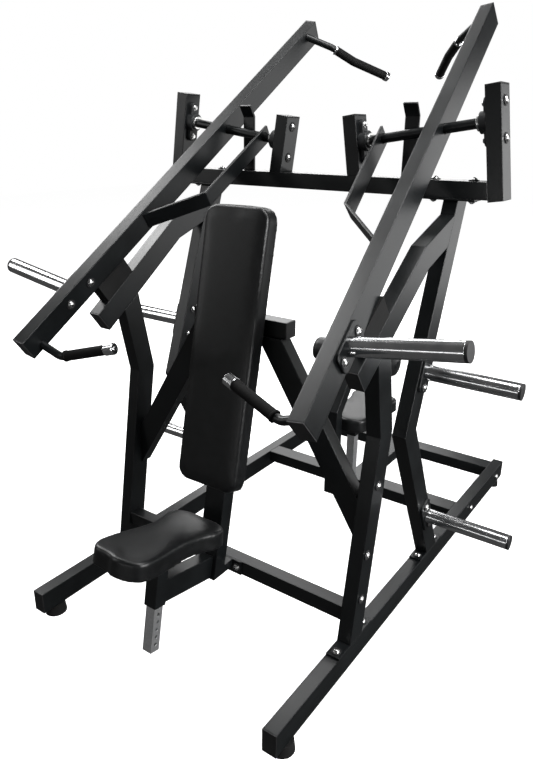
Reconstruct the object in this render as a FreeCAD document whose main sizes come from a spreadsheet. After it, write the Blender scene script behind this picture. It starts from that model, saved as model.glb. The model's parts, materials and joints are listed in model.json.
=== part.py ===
"""Two-station iso-lateral press and pulldown machine, modelled in millimetres.

+X is to the side, -Y is the press station at the front, +Y is the pulldown station at the rear and
+Z is up.  Pieces are laid out from the pivots of the two levers, and then the whole machine is moved
so that its origin is on the floor at the middle of its footprint.
"""

import FreeCAD
import Part
import Sketcher

import math
import os

from FreeCAD import Placement, Rotation, Vector

DIMENSIONS = {
    # Rectangular steel tube that most of the frame is welded from.
    "tube_width": 45.0,
    "tube_depth": 75.0,
    "flat_height": 50.0,
    "wall": 3.0,
    # How far the middle of the footprint lies in front of the pivots.
    "pivot_y": 28.5,
    # Base.
    "base_half_width": 500.0,
    "base_half_length": 944.0,
    "foot_height": 35.0,
    "foot_front_radius": 37.0,
    "foot_rear_radius": 25.0,
    "mid_beam_y": 420.0,
    "rear_beam_y": 877.0,
    "front_beam_y": -511.0,
    "front_beam_top": 226.0,
    # Levers and their shafts.
    "shaft_tilt": 8.5,
    "lever_slope": 36.5,
    "pivot_x": 407.0,
    "pivot_z": 1581.0,
    "lever_front": 1075.0,
    "lever_rear": 621.0,
    "shaft_radius": 15.0,
    "running_gap": 0.05,
    "inner_post_offset": 272.0,
    "outer_post_offset": 177.0,
    "bearing_thickness": 24.0,
    "top_beam_z": 1391.0,
    # Weight horns.
    "horn_radius": 25.0,
    "horn_wall": 2.5,
    "horn_length": 280.0,
    "horn_cap": 8.0,
    "horn_plate": 8.0,
    "horn_bolts": 97.0,
    "lever_horn_at": 830.0,
    # Handles.
    "handle_radius": 12.5,
    "grip_radius": 16.0,
    # Seats and the upholstered pads.
    "sleeve_side": 45.0,
    "post_side": 35.0,
    "slide_gap": 0.4,
    "front_seat_lean": 11.0,
    "front_seat_y": -824.3,
    "rear_seat_y": 359.5,
    "front_seat_top": 463.6,
    "rear_seat_top": 460.0,
    "seat_thickness": 58.0,
    "hole_radius": 5.5,
    "hole_pitch": 25.0,
    "back_lean": 12.0,
    "stub_height": 28.0,
    "back_width": 240.0,
    "back_length": 868.0,
    "back_thickness": 52.0,
    "board_thickness": 12.0,
    "pull_pin_radius": 5.0,
    "roller_radius": 51.0,
    "roller_length": 376.0,
    # Fasteners.
    "bolt_radius": 11.0,
    "bolt_height": 7.5,
    "washer_radius": 15.0,
    "washer_thickness": 2.5,
}

doc = FreeCAD.newDocument("press_machine")
sheet = doc.addObject("Spreadsheet::Sheet", "Sheet")
for row, (alias, value) in enumerate(DIMENSIONS.items(), start=1):
    sheet.set("A%d" % row, str(value))
    sheet.setAlias("A%d" % row, alias)
doc.recompute()


def cell(alias):
    """The value of one cell of the sheet."""
    return float(sheet.get(alias))


W = cell("tube_width")
D = cell("tube_depth")
FLAT = cell("flat_height")
WALL = cell("wall")
RAIL_BOTTOM = cell("foot_height")
RAIL_TOP = RAIL_BOTTOM + D
RAIL_X = cell("base_half_width") - W / 2
TILT = cell("shaft_tilt")
SLOPE = cell("lever_slope")
X_AXIS = Vector(1, 0, 0)
Y_AXIS = Vector(0, 1, 0)
Z_AXIS = Vector(0, 0, 1)
SIDES = {"left": -1, "right": 1}

nodes = []


def keep(piece, label):
    """Names a finished piece and puts it on the list of pieces to write."""
    piece.Label = label
    nodes.append(piece)
    return piece


def frame_of(x_axis, z_axis, origin):
    """The placement whose own X and Z axes point along the two given directions."""
    y_axis = z_axis.cross(x_axis)
    return Placement(Vector(*origin), Rotation(x_axis, y_axis, z_axis, "ZXY"))


# ---------------------------------------------------------------- sketches and bodies

def new_body(name):
    return doc.addObject("PartDesign::Body", name + "_body")


def new_sketch(body, name, role):
    """An empty sketch on one of the body's own origin planes."""
    sketch = body.newObject("Sketcher::SketchObject", name)
    plane = next(item for item in body.Origin.OriginFeatures if item.Role == role)
    sketch.AttachmentSupport = [(plane, "")]
    sketch.MapMode = "FlatFace"
    return sketch


def add_polygon(sketch, points):
    """A closed outline of straight lines through the points."""
    first = sketch.GeometryCount
    count = len(points)
    for i, (x, y) in enumerate(points):
        after = points[(i + 1) % count]
        sketch.addGeometry(Part.LineSegment(Vector(x, y, 0), Vector(after[0], after[1], 0)), False)
    for i in range(count):
        sketch.addConstraint(Sketcher.Constraint("Coincident", first + i, 2, first + (i + 1) % count, 1))


def add_rectangle(sketch, tag, width, height):
    """A rectangle centred on the sketch origin, its sides bound to two expressions."""
    first = sketch.GeometryCount
    add_polygon(sketch, [(-10, -10), (10, -10), (10, 10), (-10, 10)])
    for line, direction in ((0, "Horizontal"), (1, "Vertical"), (2, "Horizontal"), (3, "Vertical")):
        sketch.addConstraint(Sketcher.Constraint(direction, first + line))
    sketch.addConstraint(Sketcher.Constraint("Symmetric", first, 1, first + 1, 2, -1, 1))
    for name, kind, line, value in (("width", "DistanceX", 0, width), ("height", "DistanceY", 1, height)):
        index = sketch.addConstraint(Sketcher.Constraint(kind, first + line, 1, first + line, 2, 20.0))
        sketch.renameConstraint(index, tag + "_" + name)
        sketch.setExpression("Constraints." + tag + "_" + name, value)


def add_circle(sketch, tag, radius, centre=(0.0, 0.0)):
    """A circle with its radius bound to an expression."""
    circle = Part.Circle(Vector(centre[0], centre[1], 0), Z_AXIS, 5.0)
    line = sketch.addGeometry(circle, False)
    index = sketch.addConstraint(Sketcher.Constraint("Radius", line, 5.0))
    sketch.renameConstraint(index, tag + "_radius")
    sketch.setExpression("Constraints." + tag + "_radius", radius)


def pad(body, sketch, length, both_ways=False):
    feature = body.newObject("PartDesign::Pad", "Pad")
    feature.Profile = sketch
    feature.Midplane = both_ways
    feature.setExpression("Length", length)
    doc.recompute()
    return feature


def pocket(body, sketch, length, both_ways=True):
    """A pocket that must take material away."""
    before = body.Shape.Volume
    feature = body.newObject("PartDesign::Pocket", "Pocket")
    feature.Profile = sketch
    feature.Midplane = both_ways
    feature.setExpression("Length", length)
    doc.recompute()
    if body.Shape.Volume >= before - 1.0:
        raise RuntimeError("nothing was cut from " + body.Name)
    return feature


def group(members, label):
    """Separate solids of one kind that share a node."""
    compound = doc.addObject("Part::Compound", label + "_group")
    compound.Links = members
    return keep(compound, label)


# ---------------------------------------------------------------- tube sections

def straight_tube(name, length, placement, width="Sheet.tube_width", depth="Sheet.tube_depth"):
    """Open rectangular tube along its own Z axis, with its width along its own X axis."""
    body = new_body(name)
    sketch = new_sketch(body, name + "_section", "XY_Plane")
    add_rectangle(sketch, "outer", width, depth)
    add_rectangle(sketch, "inner", width + " - 2 * Sheet.wall", depth + " - 2 * Sheet.wall")
    pad(body, sketch, length)
    body.Placement = placement
    return body


def meet(point_a, along_a, point_b, along_b):
    """Where two lines in a plane cross."""
    cross = along_a[0] * along_b[1] - along_a[1] * along_b[0]
    gap = (point_b[0] - point_a[0], point_b[1] - point_a[1])
    step = (gap[0] * along_b[1] - gap[1] * along_b[0]) / cross
    return (point_a[0] + step * along_a[0], point_a[1] + step * along_a[1])


def tube_outline(path, half, start_cut, end_cut, extra=0.0):
    """The side outline of a mitred tube: its path, half its depth and the directions of its end cuts."""
    legs = []
    for start, end in zip(path, path[1:]):
        run = math.hypot(end[0] - start[0], end[1] - start[1])
        legs.append(((end[0] - start[0]) / run, (end[1] - start[1]) / run))
    first = (path[0][0] - extra * legs[0][0], path[0][1] - extra * legs[0][1])
    last = (path[-1][0] + extra * legs[-1][0], path[-1][1] + extra * legs[-1][1])
    rows = []
    for side in (-half, half):
        lines = []
        for start, along in zip(path, legs):
            lines.append(((start[0] - side * along[1], start[1] + side * along[0]), along))
        corners = [meet(first, start_cut, *lines[0])]
        for line, after in zip(lines, lines[1:]):
            corners.append(meet(*line, *after))
        corners.append(meet(last, end_cut, *lines[-1]))
        rows.append(corners)
    return rows[0] + rows[1][::-1]


def mitred_tube(name, path, start_cut, end_cut, placement, depth="tube_depth", width="tube_width",
                plane="YZ_Plane"):
    """Hollow rectangular tube that follows straight legs in a plane, mitred where they meet."""
    body = new_body(name)
    half = cell(depth) / 2
    outer = new_sketch(body, name + "_outside", plane)
    add_polygon(outer, tube_outline(path, half, start_cut, end_cut))
    pad(body, outer, "Sheet." + width, True)
    inner = new_sketch(body, name + "_inside", plane)
    add_polygon(inner, tube_outline(path, half - WALL, start_cut, end_cut, 4 * WALL))
    pocket(body, inner, "Sheet." + width + " - 2 * Sheet.wall")
    body.Placement = placement
    return body


def round_bar(name, radius, length, placement, bore=None):
    """Round bar or tube along its own Z axis."""
    body = new_body(name)
    sketch = new_sketch(body, name + "_section", "XY_Plane")
    add_circle(sketch, "outer", radius)
    if bore:
        add_circle(sketch, "bore", bore)
    pad(body, sketch, length)
    body.Placement = placement
    return body


def bent_bar(points, radius, bend, bore=0.0):
    """Round tube swept along straight runs joined by arcs, as one solid."""
    edges = []
    start = points[0]
    for before, corner, after in zip(points, points[1:], points[2:]):
        enter = (before - corner).normalize()
        leave = (after - corner).normalize()
        half_turn = (math.pi - enter.getAngle(leave)) / 2
        reach = bend * math.tan(half_turn)
        middle = (enter + leave).normalize()
        centre = corner + middle * (bend / math.cos(half_turn))
        touch_a = corner + enter * reach
        touch_b = corner + leave * reach
        edges.append(Part.makeLine(start, touch_a))
        edges.append(Part.Arc(touch_a, centre - middle * bend, touch_b).toShape())
        start = touch_b
    edges.append(Part.makeLine(start, points[-1]))
    spine = Part.Wire(edges)
    along = (points[1] - points[0]).normalize()

    def sweep(size):
        profile = Part.Wire([Part.makeCircle(size, points[0], along)])
        return spine.makePipeShell([profile], True, False)

    solid = sweep(radius)
    if bore:
        solid = solid.cut(sweep(bore))
    return solid


def shaped(shape, label):
    """A piece whose shape is set directly."""
    feature = doc.addObject("Part::Feature", label + "_shape")
    feature.Shape = shape
    return keep(feature, label)


# ---------------------------------------------------------------- base

def build_base():
    """Two long rails on feet, joined by flat crossbeams."""
    for side, sign in SIDES.items():
        start = (sign * RAIL_X, -cell("base_half_length"), RAIL_BOTTOM + D / 2)
        body = straight_tube("rail_" + side, "2 * Sheet.base_half_length", frame_of(X_AXIS, Y_AXIS, start))
        keep(body, "rail_" + side)
    flat_z = RAIL_TOP - FLAT / 2
    inner_x = RAIL_X - W / 2
    across = "2 * Sheet.base_half_width - 2 * Sheet.tube_width"
    beams = []
    for alias in ("mid_beam_y", "rear_beam_y"):
        place = frame_of(Z_AXIS, X_AXIS, (-inner_x, cell(alias), flat_z))
        beams.append(straight_tube(alias, across, place, "Sheet.flat_height"))
    start = (0, cell("mid_beam_y") + D / 2, flat_z)
    length = "Sheet.rear_beam_y - Sheet.mid_beam_y - Sheet.tube_depth"
    beams.append(straight_tube("centre_beam", length, frame_of(Z_AXIS, Y_AXIS, start), "Sheet.flat_height"))
    group(beams, "base_crossbeams")
    start = (-inner_x, cell("front_beam_y"), cell("front_beam_top") - FLAT / 2)
    front = straight_tube("front_crossbeam", across, frame_of(Z_AXIS, X_AXIS, start), "Sheet.flat_height",
                          "Sheet.tube_width")
    keep(front, "front_crossbeam")


def build_feet():
    """Turned rubber feet, wider at the floor, under the four rail ends."""
    feet = []
    for alias, y in (("foot_front_radius", -cell("base_half_length") + 60.0),
                     ("foot_rear_radius", cell("base_half_length") - 45.0)):
        for sign in SIDES.values():
            cone = doc.addObject("Part::Cone", "foot")
            cone.setExpression("Radius1", "Sheet." + alias)
            cone.setExpression("Radius2", "Sheet." + alias + " - 4")
            cone.setExpression("Height", "Sheet.foot_height")
            cone.Placement = Placement(Vector(sign * RAIL_X, y, 0), Rotation())
            feet.append(cone)
    group(feet, "rubber_feet")


# ---------------------------------------------------------------- uprights and stop arms

FLANGE = 6.0
REAR_BASE = (74.0, RAIL_TOP + FLANGE)
REAR_BEND = (-224.0, 698.0)
REAR_TOP = (18.5, 1391.0)
FRONT_BASE = (-516.0, RAIL_TOP + FLANGE)
FRONT_BEND = (-405.0, 766.0)
ARM_START = (-22.0, 1309.0)
ARM_BEND = (-219.0, 1242.0)
ARM_END = (-582.0, 977.0)
LEVEL = (1.0, 0.0)

OUTER_POST_DROP = 221.0
OUTER_POST_RISE = 93.0
INNER_POST_RISE = 80.0
BEARING_BOSS_RADIUS = 31.0
BEARING_LOBE_RADIUS = 17.0
BEARING_BOLTS = 50.0
CATCH_BAR_X = 312.0
CATCH_BAR_Y = 30.0
POST_FRONT_Y = -636.5
POST_FOOT_Z = 198.0
BACK_POST_DEPTH = 50.0
CROSSBAR_Y = -422.0
CROSSBAR_Z = 1023.0
CROSSBAR_HALF = 175.0
BRACE_FOOT_Z = 476.0
BRACE_TOP_X = 124.0
BRACE_Y = -436.0
BACK_PAD_Z = 516.0


def build_uprights():
    """Front and rear uprights, each mitred once, and the stop arms between them."""
    arm_run = (ARM_END[0] - ARM_BEND[0], ARM_END[1] - ARM_BEND[1])
    arm_length = math.hypot(*arm_run)
    along = (arm_run[0] / arm_length, arm_run[1] / arm_length)
    square_end = (-along[1], along[0])
    underside = (ARM_END[0] - square_end[0] * -D / 2, ARM_END[1] - square_end[1] * -D / 2)
    front_lean = (-0.2, 1.0)
    front_top = meet(FRONT_BEND, front_lean, underside, along)
    rear_run = (REAR_TOP[0] - REAR_BEND[0], REAR_TOP[1] - REAR_BEND[1])
    top_z = cell("top_beam_z")
    rear_top = meet(REAR_BEND, rear_run, (0.0, top_z - FLANGE), LEVEL)
    rear_face = (REAR_BEND[0] - (D / 2) * rear_run[1] / math.hypot(*rear_run),
                 REAR_BEND[1] + (D / 2) * rear_run[0] / math.hypot(*rear_run))
    arm_top_run = (ARM_START[0] - ARM_BEND[0], ARM_START[1] - ARM_BEND[1])
    arm_root = meet(ARM_BEND, arm_top_run, rear_face, rear_run)
    for side, sign in SIDES.items():
        place = Placement(Vector(sign * RAIL_X, 0, 0), Rotation())
        keep(mitred_tube("front_upright_" + side, [FRONT_BASE, FRONT_BEND, front_top], LEVEL, along, place),
             "front_upright_" + side)
        keep(mitred_tube("rear_upright_" + side, [REAR_BASE, REAR_BEND, rear_top], LEVEL, LEVEL, place),
             "rear_upright_" + side)
        keep(mitred_tube("stop_arm_" + side, [arm_root, ARM_BEND, ARM_END], rear_run, square_end, place),
             "stop_arm_" + side)
    return along


# ---------------------------------------------------------------- pivot posts and top crossbeam

def tilted(sign, outward, up):
    """A point in the XZ plane, measured from the pivot along and across the tilted shaft."""
    angle = math.radians(TILT)
    x = cell("pivot_x") + outward * math.cos(angle) - up * math.sin(angle)
    z = cell("pivot_z") + outward * math.sin(angle) + up * math.cos(angle)
    return (sign * x, z)


def build_top():
    """The top crossbeam and the four leaning posts that hold the shafts."""
    angle = math.radians(TILT)
    mid_z = cell("top_beam_z") + FLAT / 2
    flat = Placement()
    face = cell("outer_post_offset") - W / 2
    ends = []
    for sign in (-1, 1):
        lean = (-sign * math.sin(angle), math.cos(angle))
        ends.append((meet(tilted(sign, face, 0), lean, (0, mid_z), LEVEL), lean))
    beam = mitred_tube("top_crossbeam", [ends[0][0], ends[1][0]], ends[0][1], ends[1][1], flat,
                       "flat_height", "tube_depth", "XZ_Plane")
    keep(beam, "top_crossbeam")
    outer = []
    inner = []
    for sign in SIDES.values():
        lean = (-sign * math.sin(angle), math.cos(angle))
        square = (sign * math.cos(angle), math.sin(angle))
        offset = cell("outer_post_offset")
        path = [tilted(sign, offset, -OUTER_POST_DROP), tilted(sign, offset, OUTER_POST_RISE)]
        outer.append(mitred_tube("outer_post", path, square, square, flat,
                                 "tube_width", "tube_depth", "XZ_Plane"))
        offset = -cell("inner_post_offset")
        foot = meet(tilted(sign, offset, 0), lean, (0, cell("top_beam_z") + FLAT), LEVEL)
        inner.append(mitred_tube("inner_post", [foot, tilted(sign, offset, INNER_POST_RISE)], LEVEL, square,
                                 flat, "tube_width", "tube_depth", "XZ_Plane"))
    group(outer, "outer_posts")
    group(inner, "inner_posts")


def shaft_rotation(sign):
    """Turns +X onto a shaft's axis, tilted up towards the outside."""
    return Rotation(Y_AXIS, -sign * TILT)


def shaft_place(sign, outward, along_y=0.0, up=0.0):
    """A placement on a shaft whose own X axis is the shaft's."""
    rotation = shaft_rotation(sign)
    pivot = Vector(sign * cell("pivot_x"), 0, cell("pivot_z"))
    return Placement(pivot + rotation.multVec(Vector(sign * outward, along_y, up)), rotation)


def build_bearings():
    """Two-bolt flange bearings on the facing sides of the posts."""
    housings = []
    for sign in SIDES.values():
        faces = ((cell("outer_post_offset") - W / 2, -1), (-cell("inner_post_offset") + W / 2, 1))
        for outward, into in faces:
            place = shaft_place(sign, outward)
            axis = place.Rotation.multVec(Vector(sign * into, 0, 0))
            across = place.Rotation.multVec(Z_AXIS)
            local = frame_of(across, axis, place.Base)
            parts = []
            for x, radius, height in ((0.0, BEARING_BOSS_RADIUS, "Sheet.bearing_thickness"),
                                      (BEARING_BOLTS, BEARING_LOBE_RADIUS, "Sheet.bearing_thickness / 2"),
                                      (-BEARING_BOLTS, BEARING_LOBE_RADIUS, "Sheet.bearing_thickness / 2")):
                disc = doc.addObject("Part::Cylinder", "bearing_disc")
                disc.Radius = radius
                disc.setExpression("Height", height)
                disc.Placement = local * Placement(Vector(x, 0, 0), Rotation())
                parts.append(disc)
            web = doc.addObject("Part::Box", "bearing_web")
            web.Length = 2 * BEARING_BOLTS
            web.Width = 2 * BEARING_LOBE_RADIUS
            web.setExpression("Height", "Sheet.bearing_thickness / 2")
            web.Placement = local * Placement(Vector(-BEARING_BOLTS, -BEARING_LOBE_RADIUS, 0), Rotation())
            body = doc.addObject("Part::MultiFuse", "bearing_casting")
            body.Shapes = parts + [web]
            bore = doc.addObject("Part::Cylinder", "bearing_bore")
            bore.setExpression("Radius", "Sheet.shaft_radius + Sheet.running_gap")
            bore.setExpression("Height", "Sheet.bearing_thickness * 3")
            bore.Placement = local * Placement(Vector(0, 0, -cell("bearing_thickness")), Rotation())
            housing = doc.addObject("Part::Cut", "bearing_housing")
            housing.Base = body
            housing.Tool = bore
            housings.append(housing)
    group(housings, "pivot_bearings")


def flat_bar(name, path, thickness, width, start_cut, end_cut, placement, plane="YZ_Plane"):
    """Flat bar bent to follow a path, seen edge-on in the sketch plane."""
    body = new_body(name)
    sketch = new_sketch(body, name + "_edge", plane)
    add_polygon(sketch, tube_outline(path, thickness / 2, start_cut, end_cut))
    pad(body, sketch, str(width), True)
    body.Placement = placement
    return body


def build_catch_bars():
    """Flat bars that stand on the top crossbeam behind the shafts, their tops bent forward."""
    base = cell("top_beam_z") + FLAT
    bars = []
    path = [(CATCH_BAR_Y, base), (CATCH_BAR_Y, base + 180.0), (CATCH_BAR_Y - 24.0, base + 216.0)]
    for sign in SIDES.values():
        place = Placement(Vector(sign * CATCH_BAR_X, 0, 0), Rotation())
        bars.append(flat_bar("catch_bar", path, 8.0, 46.0, LEVEL, (36.0, 24.0), place))
    group(bars, "catch_bars")


# ---------------------------------------------------------------- back support

def leaning(height):
    """Where the front face of the leaning back post is at a height above the floor."""
    return POST_FRONT_Y + (height - POST_FOOT_Z) * math.tan(math.radians(cell("back_lean")))


def back_place(distance, up_from):
    """A placement on the back's plane: own Z up the lean, own Y to the rear."""
    lean = math.radians(cell("back_lean"))
    along = Vector(0, math.sin(lean), math.cos(lean))
    rearward = Vector(0, math.cos(lean), -math.sin(lean))
    foot = Vector(0, leaning(up_from), up_from)
    return frame_of(X_AXIS, along, foot + rearward * distance)


def rounded_plate(name, width, height, corner, thickness, placement, edge=0.0):
    """Plate with rounded corners: own X is its width, own Z its height, and it grows along its own -Y."""
    body = new_body(name)
    sketch = new_sketch(body, name + "_outline", "XZ_Plane")
    half = width / 2
    corners = ((half - corner, corner, 1.5), (half - corner, height - corner, 0.0),
               (-half + corner, height - corner, 0.5), (-half + corner, corner, 1.0))
    arcs = []
    for x, z, turn in corners:
        circle = Part.Circle(Vector(x, z, 0), Z_AXIS, corner)
        arc = Part.ArcOfCircle(circle, turn * math.pi, (turn + 0.5) * math.pi)
        arcs.append(sketch.addGeometry(arc, False))
    starts = [sketch.getPoint(arc, 1) for arc in arcs]
    ends = [sketch.getPoint(arc, 2) for arc in arcs]
    for i in range(4):
        after = (i + 1) % 4
        line = sketch.addGeometry(Part.LineSegment(ends[i], starts[after]), False)
        sketch.addConstraint(Sketcher.Constraint("Coincident", line, 1, arcs[i], 2))
        sketch.addConstraint(Sketcher.Constraint("Coincident", line, 2, arcs[after], 1))
    base = pad(body, sketch, thickness)
    if edge:
        rounding = body.newObject("PartDesign::Fillet", "Fillet")
        front = min(enumerate(base.Shape.Faces, 1), key=lambda item: item[1].CenterOfMass.y)
        rounding.Base = (base, ["Face%d" % front[0]])
        rounding.Radius = edge
        doc.recompute()
    body.Placement = placement
    return body


def build_back():
    """Leaning post, crossbar and diagonal braces that carry the padded backrest."""
    lean = math.radians(cell("back_lean"))
    run = (math.sin(lean), math.cos(lean))
    middle = BACK_POST_DEPTH / 2
    foot = (leaning(POST_FOOT_Z) + middle / math.cos(lean), POST_FOOT_Z)
    top = meet(foot, run, (0.0, CROSSBAR_Z - FLAT / 2), LEVEL)
    post = mitred_tube("back_post", [foot, top], LEVEL, LEVEL, Placement(), "flat_height", "tube_depth")
    stub_z = cell("front_beam_top") - cell("stub_height") / 2
    rear_face = meet((foot[0] + middle / math.cos(lean), POST_FOOT_Z), run, (0.0, stub_z), LEVEL)
    plate_face = (cell("front_beam_y") - W / 2 - FLANGE, stub_z)
    stub = mitred_tube("post_stub", [rear_face, plate_face], run, (0.0, 1.0), Placement(),
                       "stub_height", "tube_depth")
    group([post, stub], "back_post")
    start = (-CROSSBAR_HALF, CROSSBAR_Y, CROSSBAR_Z)
    bar = straight_tube("back_crossbar", str(2 * CROSSBAR_HALF), frame_of(Z_AXIS, X_AXIS, start),
                        "Sheet.flat_height", "Sheet.flat_height")
    keep(bar, "back_crossbar")
    braces = []
    inner_face = RAIL_X - W / 2
    for sign in SIDES.values():
        path = [(sign * inner_face, BRACE_FOOT_Z), (sign * BRACE_TOP_X, CROSSBAR_Z - FLAT / 2)]
        place = Placement(Vector(0, BRACE_Y, 0), Rotation())
        braces.append(mitred_tube("back_brace", path, (0.0, 1.0), LEVEL, place, plane="XZ_Plane"))
    group(braces, "back_braces")
    board_place = back_place(0.0, BACK_PAD_Z)
    board = rounded_plate("backrest_board", cell("back_width") - 24, cell("back_length") - 24, 36.0,
                          "Sheet.board_thickness", board_place * Placement(Vector(0, 0, 12), Rotation()))
    keep(board, "backrest_board")
    pad_place = back_place(-cell("board_thickness"), BACK_PAD_Z)
    cushion = rounded_plate("backrest_pad", cell("back_width"), cell("back_length"), 44.0,
                            "Sheet.back_thickness", pad_place, 10.0)
    keep(cushion, "backrest_pad")


# ---------------------------------------------------------------- levers

HORN_PLATE_LENGTH = 130.0
HORN_PLATE_WIDTH = 65.0
HORN_PLATE_CORNER = 16.0
HANDLE_BEND = 45.0
HANDLE_BORE = 9.5
PRESS_ROUTE = ((-12.5, -1029.0, -22.0), (-100.0, -1033.0, -40.0), (-277.0, -954.0, -2.0))
PRESS_GRIP_START = (-123.0, -1022.7, -35.0)
PULL_ROUTE = ((-12.5, 552.5, 19.0), (-100.0, 592.0, -42.0), (-172.0, 622.0, -112.0), (-259.0, 707.0, -219.0))
PULL_GRIP_START = (-116.0, 598.7, -57.6)
CAP_LENGTH = 6.0
BRACE_BAR = ((-183.0, 26.0), (-172.0, -330.0), (-22.5, -487.0))
BRACE_BAR_THICKNESS = 8.0
BRACE_BAR_HEIGHT = 56.0
SHAFT_END_GAP = 0.5
END_PLATE = 3.0
BUMPER_AT = -700.0
BUMPER_LENGTH = 140.0
BUMPER_GAP = 0.3


def lever_place(sign, outward=0.0, along=0.0, up=0.0):
    """A lever's own frame: X across it, Z along it to the rear and Y down, measured from its pivot."""
    tilt = math.radians(TILT)
    slope = math.radians(SLOPE)
    across = Vector(math.cos(tilt), 0, sign * math.sin(tilt))
    rise = Vector(-sign * math.sin(tilt), 0, math.cos(tilt))
    rear = Y_AXIS * math.cos(slope) + rise * math.sin(slope)
    pivot = frame_of(across, rear, (sign * cell("pivot_x"), 0, cell("pivot_z")))
    return pivot * Placement(Vector(sign * outward, -up, along), Rotation())


def facing(place, sign):
    """The same spot with its own Z axis turned onto the X axis of the place, or away from it."""
    return Placement(place.Base, place.Rotation * Rotation(Y_AXIS, sign * 90))


def end_plate(place, width, depth):
    """Thin plate that closes the open end of a tube."""
    box = doc.addObject("Part::Box", "end_plate")
    box.setExpression("Length", "Sheet." + width)
    box.setExpression("Width", "Sheet." + depth)
    box.Height = END_PLATE
    corner = Vector(-cell(width) / 2, -cell(depth) / 2, 0)
    box.Placement = place * Placement(corner, Rotation())
    return box


def build_lever_tube(side, sign):
    """Lever tube with a cross hole for its shaft."""
    body = straight_tube("lever", "Sheet.lever_front + Sheet.lever_rear",
                         lever_place(sign, 0, -cell("lever_front")))
    sketch = new_sketch(body, "shaft_hole", "YZ_Plane")
    add_circle(sketch, "shaft", "Sheet.shaft_radius", (0.0, cell("lever_front")))
    pocket(body, sketch, "Sheet.tube_width * 2")
    keep(body, "lever_" + side)


def build_shaft(side, sign):
    """Pivot shaft, welded through the lever and turning in its two bearings."""
    inner = cell("inner_post_offset") - W / 2 - SHAFT_END_GAP
    outer = cell("outer_post_offset") - W / 2 - SHAFT_END_GAP
    shaft = round_bar("pivot_shaft", "Sheet.shaft_radius", str(inner + outer),
                      facing(lever_place(sign, -inner), sign))
    keep(shaft, "pivot_shaft_" + side)


def build_lever_brace(side, sign):
    """Flat bar on edge from the inner end of the shaft to the lever's inner face."""
    body = new_body("lever_brace")
    sketch = new_sketch(body, "lever_brace_edge", "XZ_Plane")
    path = [(sign * outward, along) for outward, along in BRACE_BAR]
    add_polygon(sketch, tube_outline(path, BRACE_BAR_THICKNESS / 2, LEVEL, (0.0, 1.0)))
    pad(body, sketch, str(BRACE_BAR_HEIGHT), True)
    hole = new_sketch(body, "shaft_hole", "YZ_Plane")
    add_circle(hole, "shaft", "Sheet.shaft_radius")
    pocket(body, hole, "Sheet.inner_post_offset * 2")
    body.Placement = lever_place(sign)
    keep(body, "lever_brace_" + side)


def horn_plate(place):
    """Flange plate with rounded corners that stands on a face, long along its own X axis."""
    upright = Placement(Vector(0, -HORN_PLATE_WIDTH / 2, 0), Rotation(X_AXIS, -90))
    return rounded_plate("horn_plate", HORN_PLATE_LENGTH, HORN_PLATE_WIDTH, HORN_PLATE_CORNER,
                         "Sheet.horn_plate", place * upright)


def horn_pieces(spot):
    """Flange plate, tube and end cap of a weight horn that stands on a face, along its own Z axis."""
    plate = horn_plate(spot)
    raised = spot * Placement(Vector(0, 0, cell("horn_plate")), Rotation())
    tube = round_bar("horn", "Sheet.horn_radius", "Sheet.horn_length", raised,
                     "Sheet.horn_radius - Sheet.horn_wall")
    tip = raised * Placement(Vector(0, 0, cell("horn_length")), Rotation())
    cap = round_bar("horn_cap", "Sheet.horn_radius", "Sheet.horn_cap", tip)
    return plate, tube, cap


def build_lever_horn(side, sign):
    """Weight horn on the lever's outer face, and the lever's own end plates."""
    spot = facing(lever_place(sign, W / 2, -cell("lever_horn_at")), sign)
    plate, tube, cap = horn_pieces(spot)
    keep(plate, "horn_plate_" + side)
    keep(tube, "weight_horn_" + side)
    front = end_plate(lever_place(sign, 0, -cell("lever_front") - END_PLATE), "tube_width", "tube_depth")
    rear = end_plate(lever_place(sign, 0, cell("lever_rear")), "tube_width", "tube_depth")
    group([cap, front, rear], "lever_caps_" + side)


def build_handle(side, sign, name, route, grip_start, first_grip_point):
    """Bent tube handle on a lever's inner face, with a rubber grip from its collar to its end."""
    points = [lever_place(sign, *point).Base for point in route]
    tube = bent_bar(points, cell("handle_radius"), HANDLE_BEND, HANDLE_BORE)
    lever_room = Part.makeBox(W, D * 2, cell("lever_front") * 2, Vector(-W / 2, -D, -cell("lever_front")))
    lever_room.Placement = lever_place(sign)
    tube = tube.cut(lever_room)
    grip_points = [lever_place(sign, *grip_start).Base] + points[first_grip_point:]
    grip = bent_bar(grip_points, cell("grip_radius"), HANDLE_BEND)
    grip = grip.cut(bent_bar(points, cell("handle_radius"), HANDLE_BEND))
    along = (points[-1] - points[-2]).normalize()
    cap = Part.makeCylinder(cell("grip_radius"), CAP_LENGTH, points[-1], along)
    shaped(tube, "%s_handle_%s" % (name, side))
    shaped(grip.fuse(cap).removeSplitter(), "%s_grip_%s" % (name, side))


def bolt_head(place):
    """Domed bolt head on a thick washer, its seat on its own XY plane."""
    radius = cell("bolt_radius")
    height = cell("bolt_height")
    washer = cell("washer_thickness")
    ball_radius = (radius ** 2 + height ** 2) / (2 * height)
    ball = Part.makeSphere(ball_radius, Vector(0, 0, washer + height - ball_radius))
    dome = ball.common(Part.makeCylinder(radius + 1, height, Vector(0, 0, washer)))
    head = dome.fuse(Part.makeCylinder(cell("washer_radius"), washer))
    head.Placement = place
    return head


def build_lever_bolts(side, sign):
    """Bolts that clamp the weight horn's plate through the lever, with a head on each face."""
    heads = []
    half = cell("horn_bolts") / 2
    for offset in (-half, half):
        along = -cell("lever_horn_at") + offset
        outer = lever_place(sign, W / 2 + cell("horn_plate"), along)
        heads.append(bolt_head(facing(outer, sign)))
        heads.append(bolt_head(facing(lever_place(sign, -W / 2, along), -sign)))
    shaped(Part.Compound(heads), "lever_bolts_" + side)


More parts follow.
